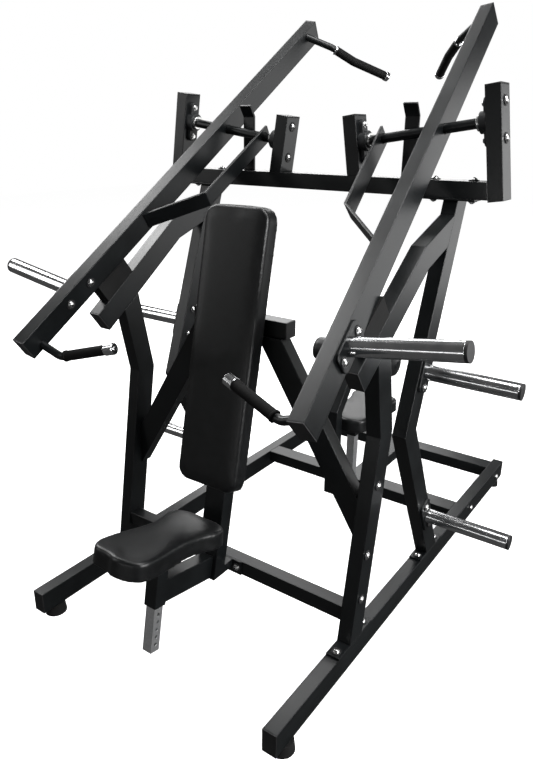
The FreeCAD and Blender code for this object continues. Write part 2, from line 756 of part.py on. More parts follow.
def build_levers():
    """The two independent levers and everything that swings with them."""
    for side, sign in SIDES.items():
        build_lever_tube(side, sign)
        build_shaft(side, sign)
        build_lever_brace(side, sign)
        build_lever_horn(side, sign)
        build_handle(side, sign, "press", PRESS_ROUTE, PRESS_GRIP_START, 2)
        build_handle(side, sign, "pull", PULL_ROUTE, PULL_GRIP_START, 2)
        build_lever_bolts(side, sign)


def build_bumpers(along):
    """Rubber blocks between the stop arms and the levers that rest on them."""
    run = Vector(0, along[0], along[1])
    normal = X_AXIS.cross(run)
    if normal.z < 0:
        normal = -normal
    arm_face = Vector(0, ARM_END[0], ARM_END[1]) + normal * (D / 2)
    blocks = []
    for sign in SIDES.values():
        lever_middle = lever_place(sign, 0, BUMPER_AT).Base
        foot = arm_face + run * (lever_middle - arm_face).dot(run)
        spot = frame_of(X_AXIS, normal, (sign * RAIL_X, foot.y, foot.z))
        block = Part.makeBox(W - 1, BUMPER_LENGTH, 2 * D, Vector(-(W - 1) / 2, -BUMPER_LENGTH / 2, 0))
        block.Placement = spot
        lever_room = Part.makeBox(4 * W, 4 * D, 4 * BUMPER_LENGTH, Vector(-2 * W, -4 * D, -2 * BUMPER_LENGTH))
        lever_room.Placement = lever_place(sign, 0, BUMPER_AT, -D / 2 - BUMPER_GAP)
        blocks.append(block.cut(lever_room))
    shaped(Part.Compound(blocks), "stop_bumpers")


# ---------------------------------------------------------------- storage horns

UPPER_HORN_Z = 885.0
LOWER_HORN_Z = 310.0


def upright_run(height):
    """The middle of a rear upright at a height, and its direction there."""
    start, end = (REAR_BASE, REAR_BEND) if height < REAR_BEND[1] else (REAR_BEND, REAR_TOP)
    run = Vector(0, end[0] - start[0], end[1] - start[1]).normalize()
    y = start[0] + (height - start[1]) * run.y / run.z
    return y, run


def build_storage_horns():
    """Two plate storage horns on the outside of each rear upright."""
    plates = []
    tubes = []
    caps = []
    for sign in SIDES.values():
        for height in (UPPER_HORN_Z, LOWER_HORN_Z):
            y, run = upright_run(height)
            spot = frame_of(run, X_AXIS * sign, (sign * cell("base_half_width"), y, height))
            plate, tube, cap = horn_pieces(spot)
            plates.append(plate)
            tubes.append(tube)
            caps.append(cap)
    group(tubes, "storage_horns")
    return plates, caps


# ---------------------------------------------------------------- seats and thigh roller

# Heights along a seat post, measured from the top of its pad.
SLEEVE_FOOT = {"front": -229.0, "rear": -445.0}
SLEEVE_TOP = {"front": -97.0, "rear": -345.0}
POST_FOOT = {"front": -380.0, "rear": -435.0}
PIN_HEIGHT = {"front": -130.0, "rear": -372.0}
FRONT_ARM_HEIGHT = -182.6
CARRIER_HEIGHT = {"front": 34.0, "rear": 62.0}
SEAT_NEAR = {"front": -196.0, "rear": -120.0}
SEAT_LENGTH = {"front": 399.0, "rear": 360.0}
# Half widths of a seat pad, each at a share of its length from the front.
SEAT_OUTLINE = ((66.0, 0.005), (94.0, 0.06), (103.0, 0.175), (97.0, 0.36), (88.0, 0.555), (96.0, 0.725),
                (109.0, 0.86), (98.0, 0.945), (60.0, 0.993))
CARRIER_SPAN = {"front": (-90.0, 140.0), "rear": (-22.5, 240.0)}
PIN_SIDE = {"front": -1, "rear": 1}
PIN_TIP_GAP = 0.5
BOSS_LENGTH = 14.0
BOSS_RADIUS = 9.0
KNOB_RADIUS = 12.0
KNOB_LENGTH = 24.0
SHANK_SHOWING = 2.0
ROLLER_Y = 346.0
ROLLER_Z = 700.0
STAND_PATH = ((337.0, 90.0), (190.0, 150.0), (190.0, 500.0), (346.0, 700.0))


def seat_place(name, height=0.0, along=0.0, across=0.0):
    """A seat's own frame: Z up its post and Y to the rear, from the top of the pad over the post."""
    lean = cell("front_seat_lean") if name == "front" else 0.0
    post = Placement(Vector(0, cell(name + "_seat_y"), cell(name + "_seat_top")), Rotation(X_AXIS, -lean))
    return post * Placement(Vector(across, along, height), Rotation())


def build_seat_bracket(name):
    """Fixed square sleeve with a threaded boss for the pull-pin; a tube arm holds the front one."""
    foot = SLEEVE_FOOT[name]
    body = new_body(name + "_sleeve")
    sketch = new_sketch(body, name + "_sleeve_section", "XY_Plane")
    add_rectangle(sketch, "outer", "Sheet.sleeve_side", "Sheet.sleeve_side")
    bore = "Sheet.post_side + 2 * Sheet.slide_gap"
    add_rectangle(sketch, "inner", bore, bore)
    pad(body, sketch, str(SLEEVE_TOP[name] - foot))
    hole = new_sketch(body, name + "_pin_hole", "YZ_Plane")
    add_circle(hole, "pin", "Sheet.pull_pin_radius + Sheet.running_gap", (0.0, PIN_HEIGHT[name] - foot))
    feature = pocket(body, hole, "Sheet.sleeve_side", False)
    feature.Reversed = PIN_SIDE[name] > 0
    body.Placement = seat_place(name, foot)
    outside = PIN_SIDE[name] * cell("sleeve_side") / 2
    boss = round_bar(name + "_boss", str(BOSS_RADIUS), str(BOSS_LENGTH),
                     facing(seat_place(name, PIN_HEIGHT[name], 0, outside), PIN_SIDE[name]),
                     "Sheet.pull_pin_radius + Sheet.running_gap")
    return [body, boss]


def build_seat_arm():
    """Tube arm from the back post to the front seat's sleeve, square to the sleeve."""
    start = seat_place("front", FRONT_ARM_HEIGHT, cell("sleeve_side") / 2)
    level = start.Rotation.multVec(Y_AXIS)
    upright = start.Rotation.multVec(Z_AXIS)
    lean = math.radians(cell("back_lean"))
    post_run = (math.sin(lean), math.cos(lean))
    near = (start.Base.y, start.Base.z)
    far = meet(near, (level.y, level.z), (POST_FRONT_Y, POST_FOOT_Z), post_run)
    return mitred_tube("front_seat_arm", [near, far], (upright.y, upright.z), post_run, Placement())


def build_seat_post(name):
    """Square post with a row of index holes, and the flat carrier bar under the pad."""
    foot = POST_FOOT[name]
    top = -cell("seat_thickness") - CARRIER_HEIGHT[name]
    body = new_body(name + "_seat_post")
    sketch = new_sketch(body, name + "_post_section", "XY_Plane")
    add_rectangle(sketch, "outer", "Sheet.post_side", "Sheet.post_side")
    add_rectangle(sketch, "inner", "Sheet.post_side - 5", "Sheet.post_side - 5")
    pad(body, sketch, str(top - foot))
    holes = new_sketch(body, name + "_index_holes", "YZ_Plane")
    first = PIN_HEIGHT[name] - foot
    count = int(first / cell("hole_pitch"))
    for i in range(count):
        add_circle(holes, "hole%d" % i, "Sheet.hole_radius", (0.0, first - i * cell("hole_pitch")))
    pocket(body, holes, "Sheet.post_side * 2")
    body.Placement = seat_place(name, foot)
    keep(body, name + "_seat_post")
    carrier = doc.addObject("Part::Box", name + "_seat_carrier")
    carrier.setExpression("Length", "Sheet.sleeve_side")
    near, far = CARRIER_SPAN[name]
    carrier.Width = far - near
    carrier.Height = CARRIER_HEIGHT[name]
    carrier.Placement = seat_place(name, top, near, -cell("sleeve_side") / 2)
    keep(carrier, name + "_seat_carrier")


def seat_pad(name):
    """Contoured cushion: straight across the front, narrow at the waist, with rounded upper edges."""
    near = SEAT_NEAR[name]
    length = SEAT_LENGTH[name]
    side = [(half, near + share * length) for half, share in SEAT_OUTLINE]
    points = [Vector(0, near, 0)]
    points += [Vector(x, y, 0) for x, y in side]
    points += [Vector(0, near + length, 0)]
    points += [Vector(-x, y, 0) for x, y in reversed(side)]
    curve = Part.BSplineCurve()
    curve.interpolate(Points=points, PeriodicFlag=True)
    outline = Part.Face(Part.Wire([curve.toShape()]))
    solid = outline.extrude(Vector(0, 0, cell("seat_thickness")))
    top = max(solid.Faces, key=lambda face: face.CenterOfMass.z)
    solid = solid.makeFillet(10.0, top.Edges)
    solid.Placement = seat_place(name, -cell("seat_thickness"))
    shaped(solid, name + "_seat_pad")


def build_pull_pin(name):
    """Sprung pin with a round knob that locks the seat post."""
    tip = cell("post_side") / 2 + PIN_TIP_GAP
    knob = cell("sleeve_side") / 2 + BOSS_LENGTH + SHANK_SHOWING
    shank = Part.makeCylinder(cell("pull_pin_radius"), knob - tip + 1, Vector(0, 0, tip))
    ball = Part.makeCylinder(KNOB_RADIUS, KNOB_LENGTH, Vector(0, 0, knob))
    ball = ball.makeFillet(4.0, ball.Edges)
    pin = shank.fuse(ball)
    pin.Placement = facing(seat_place(name, PIN_HEIGHT[name]), PIN_SIDE[name])
    shaped(pin, name + "_pull_pin")


def build_seats():
    """Two seats that slide along square posts."""
    for name in ("front", "rear"):
        pieces = build_seat_bracket(name)
        if name == "front":
            pieces.append(build_seat_arm())
        group(pieces, name + "_seat_bracket")
        build_seat_post(name)
        seat_pad(name)
        build_pull_pin(name)


def build_thigh_roller():
    """Roller over the rear seat that holds the thighs down, and its bent stand."""
    bend, tip = STAND_PATH[-2:]
    along = Vector(0, tip[0] - bend[0], tip[1] - bend[1]).normalize()
    end = (ROLLER_Y - along.y * cell("shaft_radius"), ROLLER_Z - along.z * cell("shaft_radius"))
    square = (-along.z, along.y)
    stand = mitred_tube("stand", list(STAND_PATH[:-1]) + [end], (0.0, 1.0), square, Placement(),
                        "sleeve_side")
    rod = round_bar("roller_rod", "Sheet.shaft_radius", "Sheet.roller_length",
                    facing(Placement(Vector(-cell("roller_length") / 2, ROLLER_Y, ROLLER_Z), Rotation()), 1))
    group([stand, rod], "thigh_pad_stand")
    halves = []
    length = (cell("roller_length") - W) / 2 - 1
    for sign in SIDES.values():
        spot = facing(Placement(Vector(sign * (W / 2 + 1), ROLLER_Y, ROLLER_Z), Rotation()), sign)
        halves.append(round_bar("thigh_roller", "Sheet.roller_radius", str(length), spot,
                                "Sheet.shaft_radius"))
    group(halves, "thigh_pads")


# ---------------------------------------------------------------- flanges, caps and bolts

FRONT_UPRIGHT_BOLTS = ((-439.0, 614.0), (-481.0, 400.0), (-501.0, 255.0))
RAIL_BOLTS = ((327.0, 72.0), (513.0, 72.0), (855.0, 70.0))
BASE_FLANGES = ((-598.0, -434.0), (0.0, 148.0))
FLANGE_MARGIN = 23.0
CROSSBEAM_PLATE_BOLTS = (-55.0, 55.0)
FLANGE_HALF = 73.0
TOP_FLANGE_X = 474.0
TOP_FLANGE_HALF = 80.0
TOP_FLANGE_BOLTS = 60.0


def build_end_caps(horn_caps, arm_direction):
    """Caps of the storage horns and the plates that close the open tube ends."""
    caps = list(horn_caps)
    half = cell("base_half_length")
    for sign in SIDES.values():
        for y in (-half - END_PLATE, half):
            spot = frame_of(X_AXIS, Y_AXIS, (sign * RAIL_X, y, RAIL_BOTTOM + D / 2))
            caps.append(end_plate(spot, "tube_width", "tube_depth"))
    shaft_tilt = math.radians(TILT)
    for sign in SIDES.values():
        rise = Vector(-sign * math.sin(shaft_tilt), 0, math.cos(shaft_tilt))
        across = Vector(math.cos(shaft_tilt), 0, sign * math.sin(shaft_tilt))
        for offset, up in ((cell("outer_post_offset"), OUTER_POST_RISE),
                           (-cell("inner_post_offset"), INNER_POST_RISE)):
            x, z = tilted(sign, offset, up)
            caps.append(end_plate(frame_of(across, rise, (x, 0, z)), "tube_width", "tube_depth"))
        arm_end = (sign * RAIL_X, ARM_END[0], ARM_END[1])
        arm_spot = frame_of(X_AXIS, Vector(0, *arm_direction), arm_end)
        caps.append(end_plate(arm_spot, "tube_width", "tube_depth"))
        bar_end = (sign * CROSSBAR_HALF, CROSSBAR_Y, CROSSBAR_Z)
        caps.append(end_plate(frame_of(Y_AXIS, X_AXIS * sign, bar_end), "flat_height", "flat_height"))
    group(caps, "end_caps")


def frame_bolt_spots():
    """Where the frame's bolts sit: each is a point and the direction its head faces."""
    spots = []
    for sign in SIDES.values():
        outer = sign * cell("base_half_width")
        for y, z in FRONT_UPRIGHT_BOLTS + RAIL_BOLTS:
            spots.append((Vector(outer, y, z), X_AXIS * sign))
        for y in BASE_FLANGES[0] + BASE_FLANGES[1]:
            spots.append((Vector(sign * RAIL_X, y, RAIL_TOP + FLANGE), Z_AXIS))
        for height in (UPPER_HORN_Z, LOWER_HORN_Z):
            y, run = upright_run(height)
            for offset in (-cell("horn_bolts") / 2, cell("horn_bolts") / 2):
                middle = Vector(0, y, height) + run * offset
                plate_face = outer + sign * cell("horn_plate")
                spots.append((Vector(plate_face, middle.y, middle.z), X_AXIS * sign))
                spots.append((Vector(outer - sign * W, middle.y, middle.z), X_AXIS * -sign))
        for offset, facing_out in ((cell("outer_post_offset") + W / 2, 1),
                                   (-cell("inner_post_offset") - W / 2, -1)):
            for up in (-BEARING_BOLTS, BEARING_BOLTS):
                x, z = tilted(sign, offset, up)
                tilt = math.radians(TILT)
                across = Vector(sign * math.cos(tilt), 0, math.sin(tilt)) * facing_out
                spots.append((Vector(x, 0, z), across))
        for offset in (-TOP_FLANGE_BOLTS, TOP_FLANGE_BOLTS):
            x = sign * TOP_FLANGE_X + offset
            spots.append((Vector(x, 0, cell("top_beam_z") + FLAT), Z_AXIS))
            spots.append((Vector(x, 0, cell("top_beam_z") - FLANGE), -Z_AXIS))
    for x in CROSSBEAM_PLATE_BOLTS:
        face = cell("front_beam_y") - W / 2 - FLANGE
        spots.append((Vector(x, face, cell("front_beam_top") - FLAT / 2), -Y_AXIS))
    return spots


def build_frame_bolts():
    """Domed bolt heads on black washers, all over the frame."""
    heads = []
    for point, direction in frame_bolt_spots():
        side = Y_AXIS if abs(direction.y) < 0.5 else X_AXIS
        heads.append(bolt_head(frame_of(side, direction, point)))
    shaped(Part.Compound(heads), "frame_bolts")


def build_flanges():
    """Bolted flange plates at the feet of the uprights and behind the back post."""
    plates = []
    for sign in SIDES.values():
        for near, far in BASE_FLANGES:
            corner = Vector(sign * RAIL_X - W / 2, near - FLANGE_MARGIN, RAIL_TOP)
            plates.append(flange_box(corner, W, far - near + 2 * FLANGE_MARGIN, FLANGE))
        corner = Vector(sign * TOP_FLANGE_X - TOP_FLANGE_HALF, -D / 2, cell("top_beam_z") - FLANGE)
        plates.append(flange_box(corner, 2 * TOP_FLANGE_HALF, D, FLANGE))
    face = cell("front_beam_y") - W / 2
    bottom = cell("front_beam_top") - FLAT
    plates.append(flange_box(Vector(-FLANGE_HALF, face - FLANGE, bottom), 2 * FLANGE_HALF, FLANGE, FLAT))
    return plates


def flange_box(corner, length, width, height):
    """Flat plate given by its lowest corner and its three sides."""
    box = doc.addObject("Part::Box", "flange")
    box.Length = length
    box.Width = width
    box.Height = height
    box.Placement = Placement(corner, Rotation())
    return box


def main():
    build_base()
    build_feet()
    along = build_uprights()
    build_top()
    build_bearings()
    build_catch_bars()
    build_back()
    build_levers()
    build_bumpers(along)
    horn_plates, horn_caps = build_storage_horns()
    build_seats()
    build_thigh_roller()
    build_end_caps(horn_caps, along)
    group(build_flanges() + horn_plates, "flange_plates")
    build_frame_bolts()


main()
for piece in nodes:
    piece.Placement = Placement(Vector(0, cell("pivot_y"), 0), Rotation()) * piece.Placement
doc.recompute()
for item in doc.Objects:
    if "Invalid" in item.State or "Error" in item.State:
        raise RuntimeError("%s is %s" % (item.Name, item.State))
for piece in nodes:
    if piece.Shape.isNull() or not piece.Shape.isValid():
        raise RuntimeError(piece.Label + " has a bad shape")
os.makedirs("parts", exist_ok=True)
for piece in nodes:
    piece.Shape.exportStep("parts/%s.step" % piece.Label)
    box = piece.Shape.BoundBox
    print("%-24s solids %d  volume %.0f  z %.0f..%.0f" % (piece.Label, len(piece.Shape.Solids),
          piece.Shape.Volume, box.ZMin, box.ZMax))
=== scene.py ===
"""The looks of a two-station press and pulldown machine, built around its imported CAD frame."""

import json
import math

import bmesh
import bpy
import numpy as np
from mathutils import Matrix, Vector


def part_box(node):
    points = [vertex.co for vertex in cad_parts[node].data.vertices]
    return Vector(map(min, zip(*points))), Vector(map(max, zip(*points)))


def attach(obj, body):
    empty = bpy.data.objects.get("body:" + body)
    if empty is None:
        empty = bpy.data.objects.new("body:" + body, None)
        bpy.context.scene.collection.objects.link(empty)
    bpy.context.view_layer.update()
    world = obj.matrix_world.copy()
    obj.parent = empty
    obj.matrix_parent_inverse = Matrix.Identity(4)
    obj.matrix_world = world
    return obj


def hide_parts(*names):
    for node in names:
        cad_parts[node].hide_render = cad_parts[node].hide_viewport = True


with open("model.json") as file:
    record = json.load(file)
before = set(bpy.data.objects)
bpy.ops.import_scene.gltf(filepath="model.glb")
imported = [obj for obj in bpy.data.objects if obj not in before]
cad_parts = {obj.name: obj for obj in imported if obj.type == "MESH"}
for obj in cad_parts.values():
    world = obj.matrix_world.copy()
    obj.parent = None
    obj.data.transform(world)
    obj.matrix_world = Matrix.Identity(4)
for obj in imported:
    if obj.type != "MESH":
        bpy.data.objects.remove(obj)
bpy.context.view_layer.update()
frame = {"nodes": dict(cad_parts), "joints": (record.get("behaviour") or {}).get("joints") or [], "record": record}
NODES = frame["nodes"]
SLOTS = {part["node"]: part["material_slot"] for part in frame["record"]["subparts"]}
JOINTS = {joint["name"]: joint for joint in frame["joints"]}
SIDES = {"left": -1, "right": 1}

# Sizes are in metres.
TUBE_WIDTH = 0.045
SHAFT_RADIUS = 0.015
LEVER_SLOPE = math.radians(36.5)
FINE_FIT = 0.0001               # clearance between a ring and what it sits round
SHARP_ANGLE = math.radians(35)  # edges folded further than this stay crisp

# Cushions and rollers.
PAD_VOXEL = 0.005
PAD_SHRINK = 0.0014             # taken off before the cloth swells
PAD_SWELL = 0.0032              # the furthest that the cloth may move a point
PAD_PRESSURE = 4.0
PAD_FRAMES = 20
EVENING_ROUNDS = 24
BACKING_DEPTH = 0.004
FRONT_FILL = 0.0035             # the hollow in the front seat's leading edge
FRONT_FILL_HALF = 0.052
FRONT_FILL_REACH = 0.060
ROLLER_SIDE_GAP = 0.001
ROLLER_HEM = 0.026              # from a roller's end to where its crown begins
ROLLER_CROWN_STEPS = 14

# Bolts, washers, and black hexagons that are painted shade for the bolt heads' socket recesses.
WASHER_INNER = 0.0111
WASHER_OUTER = 0.0156
WASHER_HEIGHT = 0.0030
WASHER_CHAMFER = 0.0006
HEAD_TOP = 0.0100
# The sockets are not cut: a black hexagon of these sizes stands in each head as painted shade.
SOCKET_SHADE_ACROSS = 0.0070
SOCKET_SHADE_SUNK = 0.0012
SOCKET_SHADE_HEIGHT = 0.0014

# Flange bearings: faces of the posts along the shaft from the pivot, then the bolts and the collar.
INNER_POST_FACE = 0.2495
OUTER_POST_FACE = 0.1545
BEARING_LOBE = 0.012
BEARING_BOLTS = 0.050
BEARING_WASHER = 0.0095
BEARING_WASHER_HEIGHT = 0.0016
BEARING_HEAD_ACROSS = 0.013
BEARING_HEAD_HEIGHT = 0.006
COLLAR_FROM_POST = 0.0245
COLLAR_OUTER = 0.0225
COLLAR_HEIGHT = 0.009

# Handles: where a grip runs, as (outwards, along, up) from the lever's pivot, then its rings and ends.
PRESS_GRIP = ((-0.123, -1.0227, -0.035), (-0.277, -0.954, -0.002))
PULL_GRIP = ((-0.116, 0.5987, -0.0576), (-0.172, 0.622, -0.112), (-0.259, 0.707, -0.219))
HANDLE_RADIUS = 0.0125
GRIP_RADIUS = 0.016
GRIP_RING_OUTER = 0.0178
GRIP_RING_LENGTH = 0.009
GRIP_END_OUTER = 0.0182
GRIP_END_LENGTH = {"press": 0.024, "pull": 0.009}

# Studio.
FLOOR_REACH = 14.0
FLOOR_GLOW = 0.93
ROOM_LIGHT = 0.06
LIGHTS = (  # name, place, what it faces, size, watts
    ("overhead", (1.2, 0.0, 4.4), (0.2, 0, 1.0), (1.6, 3.2), 130.0),
    ("overhead_left", (-4.3, 0.3, 4.4), (-0.2, 0, 1.0), (1.5, 3.2), 165.0),
    ("horn_strip", (-2.0, 2.3, 4.0), (0.4, 0, 0.9), (2.6, 0.9), 45.0),
    ("right", (4.6, -0.6, 2.0), (0, 0, 0.9), (2.4, 2.8), 260.0),
    ("rear_left", (-2.4, 4.0, 2.6), (0, 0, 0.3), (3.2, 1.6), 60.0),
    ("rear_right", (2.6, 3.8, 1.2), (0, 0, 0.9), (3.8, 2.4), 42.0),
    ("front_left", (-3.8, -3.4, 2.6), (0, 0, 0.9), (0.7, 3.0), 25.0),
    ("front_low", (0.4, -5.0, 0.7), (0, 0, 0.9), (4.5, 0.3), 15.0),
)
CAMERA_PLACE = Vector((1.219, -1.9875, 1.579))
CAMERA_HEADING = math.radians(35.3)
CAMERA_DIP = math.radians(20.55)
CAMERA_ROLL = math.radians(0.39)
CAMERA_LENS = 31.65


# ---------------------------------------------------------------- material helpers

def new_material(name):
    """A node material, with its node tree and its shader."""
    material = bpy.data.materials.new(name)
    material.use_nodes = True
    tree = material.node_tree
    return material, tree, tree.nodes["Principled BSDF"]


def noise(tree, scale, detail=4.0, roughness=0.55, distortion=0.0):
    """Solid noise in object space, in features per metre."""
    where = tree.nodes.new("ShaderNodeTexCoord")
    texture = tree.nodes.new("ShaderNodeTexNoise")
    texture.inputs["Scale"].default_value = scale
    texture.inputs["Detail"].default_value = detail
    texture.inputs["Roughness"].default_value = roughness
    texture.inputs["Distortion"].default_value = distortion
    tree.links.new(where.outputs["Object"], texture.inputs["Vector"])
    return texture


def cells(tree, scale, feature="F1"):
    """Solid Voronoi cells in object space, in cells per metre."""
    where = tree.nodes.new("ShaderNodeTexCoord")
    texture = tree.nodes.new("ShaderNodeTexVoronoi")
    texture.feature = feature
    texture.inputs["Scale"].default_value = scale
    tree.links.new(where.outputs["Object"], texture.inputs["Vector"])
    return texture


def ramp(tree, source, stops, target):
    """Turns a 0 to 1 value into colours."""
    node = tree.nodes.new("ShaderNodeValToRGB")
    elements = node.color_ramp.elements
    while len(elements) < len(stops):
        elements.new(0.5)
    for element, (position, color) in zip(elements, stops):
        element.position = position
        element.color = (*color, 1.0)
    tree.links.new(source, node.inputs["Fac"])
    tree.links.new(node.outputs["Color"], target)


def spread(tree, source, low, high, target):
    """Maps a 0 to 1 value to a range of numbers."""
    node = tree.nodes.new("ShaderNodeMapRange")
    node.inputs["To Min"].default_value = low
    node.inputs["To Max"].default_value = high
    tree.links.new(source, node.inputs["Value"])
    tree.links.new(node.outputs["Result"], target)


def bump(tree, shader, height, strength, distance, edge=0.0):
    """Relief from a height, over edges that look rounded by a radius."""
    node = tree.nodes.new("ShaderNodeBump")
    node.inputs["Strength"].default_value = strength
    node.inputs["Distance"].default_value = distance
    tree.links.new(height, node.inputs["Height"])
    if edge:
        bevel = tree.nodes.new("ShaderNodeBevel")
        bevel.samples = 6
        bevel.inputs["Radius"].default_value = edge
        tree.links.new(bevel.outputs["Normal"], node.inputs["Normal"])
    tree.links.new(node.outputs["Normal"], shader.inputs["Normal"])


# ---------------------------------------------------------------- materials

def powder_coat():
    """Satin black powder coat: a fine orange peel, and dust-pale variation."""
    material, tree, shader = new_material("powder_coat")
    peel = noise(tree, 900.0, 2.0)
    clouds = noise(tree, 9.0, 5.0)
    ramp(tree, clouds.outputs["Fac"], ((0.3, (0.0024, 0.0031, 0.0035)), (0.75, (0.0064, 0.0078, 0.0086))),
         shader.inputs["Base Color"])
    spread(tree, clouds.outputs["Fac"], 0.27, 0.38, shader.inputs["Roughness"])
    shader.inputs["Specular IOR Level"].default_value = 0.5
    bump(tree, shader, peel.outputs["Fac"], 0.10, 0.0004, 0.0045)
    return material


def chrome():
    """Chrome plate with hairline wear that runs round it."""
    material, tree, shader = new_material("chrome_plate")
    shader.inputs["Metallic"].default_value = 1.0
    wear = noise(tree, 24.0, 4.0)
    fine = noise(tree, 1400.0, 2.0)
    ramp(tree, wear.outputs["Fac"], ((0.35, (0.78, 0.79, 0.80)), (0.7, (0.90, 0.90, 0.91))),
         shader.inputs["Base Color"])
    spread(tree, wear.outputs["Fac"], 0.15, 0.21, shader.inputs["Roughness"])
    bump(tree, shader, fine.outputs["Fac"], 0.012, 0.0001, 0.0012)
    return material


def bright_steel():
    """Zinc-bright drawn tube, duller than chrome, with a grain along it."""
    material, tree, shader = new_material("bright_steel")
    shader.inputs["Metallic"].default_value = 1.0
    grain = noise(tree, 160.0, 5.0, 0.6, 0.6)
    ramp(tree, grain.outputs["Fac"], ((0.3, (0.74, 0.75, 0.76)), (0.7, (0.92, 0.92, 0.93))),
         shader.inputs["Base Color"])
    spread(tree, grain.outputs["Fac"], 0.38, 0.52, shader.inputs["Roughness"])
    bump(tree, shader, grain.outputs["Fac"], 0.05, 0.0002, 0.0015)
    return material


def bright_bolt():
    """Zinc-bright bolt heads with small scratches."""
    material, tree, shader = new_material("bright_bolt")
    shader.inputs["Metallic"].default_value = 1.0
    scratches = noise(tree, 700.0, 5.0, 0.7, 1.5)
    ramp(tree, scratches.outputs["Fac"], ((0.3, (0.66, 0.66, 0.66)), (0.7, (0.90, 0.90, 0.89))),
         shader.inputs["Base Color"])
    spread(tree, scratches.outputs["Fac"], 0.16, 0.36, shader.inputs["Roughness"])
    bump(tree, shader, scratches.outputs["Fac"], 0.15, 0.0003, 0.0008)
    return material


def vinyl():
    """Black upholstery vinyl with a fine embossed grain."""
    material, tree, shader = new_material("black_vinyl")
    grain = cells(tree, 720.0, "SMOOTH_F1")
    creases = noise(tree, 38.0, 6.0)
    ramp(tree, creases.outputs["Fac"], ((0.3, (0.0024, 0.0028, 0.0031)), (0.75, (0.0048, 0.0054, 0.0059))),
         shader.inputs["Base Color"])
    spread(tree, creases.outputs["Fac"], 0.30, 0.42, shader.inputs["Roughness"])
    shader.inputs["Specular IOR Level"].default_value = 0.5
    shader.inputs["Sheen Weight"].default_value = 0.03
    shader.inputs["Sheen Roughness"].default_value = 0.4
    bump(tree, shader, grain.outputs["Distance"], 0.22, 0.0006)
    return material


def rubber(name, scale, strength, tone):
    """Matte rubber with a moulded, pebbled surface."""
    material, tree, shader = new_material(name)
    pebbles = cells(tree, scale)
    stains = noise(tree, 30.0, 5.0)
    ramp(tree, stains.outputs["Fac"], ((0.3, (tone,) * 3), (0.8, (tone * 1.9,) * 3)),
         shader.inputs["Base Color"])
    spread(tree, stains.outputs["Fac"], 0.62, 0.80, shader.inputs["Roughness"])
    shader.inputs["Specular IOR Level"].default_value = 0.2
    bump(tree, shader, pebbles.outputs["Distance"], strength, 0.0008, 0.0015)
    return material


def plastic():
    """Moulded black plastic with a fine spark-eroded texture."""
    material, tree, shader = new_material("black_plastic")
    texture = noise(tree, 1100.0, 3.0)
    tone = noise(tree, 25.0, 3.0)
    ramp(tree, tone.outputs["Fac"], ((0.3, (0.012, 0.012, 0.013)), (0.8, (0.022, 0.022, 0.023))),
         shader.inputs["Base Color"])
    spread(tree, texture.outputs["Fac"], 0.40, 0.55, shader.inputs["Roughness"])
    bump(tree, shader, texture.outputs["Fac"], 0.2, 0.0004, 0.002)
    return material


def cast_housing():
    """Painted cast iron, rougher than the tubes."""
    material, tree, shader = new_material("cast_housing")
    grit = noise(tree, 420.0, 6.0, 0.7)
    ramp(tree, grit.outputs["Fac"], ((0.3, (0.012, 0.013, 0.014)), (0.7, (0.026, 0.028, 0.030))),
         shader.inputs["Base Color"])
    spread(tree, grit.outputs["Fac"], 0.38, 0.58, shader.inputs["Roughness"])
    bump(tree, shader, grit.outputs["Fac"], 0.35, 0.0008, 0.002)
    return material


def black_board():
    """Plywood behind the pad, covered with thin black backing cloth."""
    material, tree, shader = new_material("board_backing")
    threads = cells(tree, 1500.0)
    folds = noise(tree, 14.0, 5.0)
    ramp(tree, folds.outputs["Fac"], ((0.3, (0.012, 0.012, 0.012)), (0.75, (0.022, 0.022, 0.022))),
         shader.inputs["Base Color"])
    spread(tree, folds.outputs["Fac"], 0.80, 0.92, shader.inputs["Roughness"])
    bump(tree, shader, threads.outputs["Distance"], 0.3, 0.0005)
    return material


def build_materials():
    """One material for each slot of the record."""
    coat = powder_coat()
    return {
        "frame_paint": coat,
        "shaft_steel": coat,
        "chrome": chrome(),
        "bolt_steel": bright_bolt(),
        "vinyl": vinyl(),
        "rubber": rubber("foot_rubber", 260.0, 0.35, 0.007),
        "grip_rubber": rubber("grip_rubber", 620.0, 0.3, 0.003),
        "black_plastic": plastic(),
        "bearing_housing": cast_housing(),
        "plywood": black_board(),
    }


MATERIALS = build_materials()
for node_name, node in NODES.items():
    node.data.materials.clear()
    node.data.materials.append(MATERIALS[SLOTS[node_name]])

seat_steel = bright_steel()
for node_name in ("front_seat_post", "rear_seat_post"):
    NODES[node_name].data.materials[0] = seat_steel


# ---------------------------------------------------------------- mesh helpers

def new_piece(name, mesh_build, slot, body, smooth=True):
    """A piece from a bmesh, in the row frame, riding on a body."""
    mesh = bpy.data.meshes.new(name)
    bmesh.ops.recalc_face_normals(mesh_build, faces=mesh_build.faces)
    mesh_build.to_mesh(mesh)
    mesh_build.free()
    piece = bpy.data.objects.new(name, mesh)
    bpy.context.scene.collection.objects.link(piece)
    mesh.materials.append(MATERIALS[slot])
    if smooth:
        mesh.polygons.foreach_set("use_smooth", [True] * len(mesh.polygons))
        mesh.set_sharp_from_angle(angle=SHARP_ANGLE)
    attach(piece, body)
    return piece


def spin_profile(build, profile, centre, axis, steps=40):
    """A solid of revolution: profile is a closed list of (along the axis, radius)."""
    axis = axis.normalized()
    side = axis.orthogonal().normalized()
    other = axis.cross(side)
    rings = []
    for i in range(steps):
        angle = 2 * math.pi * i / steps
        outward = side * math.cos(angle) + other * math.sin(angle)
        rings.append([build.verts.new(centre + axis * along + outward * radius) for along, radius in profile])
    count = len(profile)
    for i in range(steps):
        near, far = rings[i], rings[(i + 1) % steps]
        for j in range(count):
            k = (j + 1) % count
            if profile[j][1] > 1e-6 or profile[k][1] > 1e-6:
                build.faces.new((near[j], near[k], far[k], far[j]))
    bmesh.ops.remove_doubles(build, verts=build.verts, dist=1e-6)


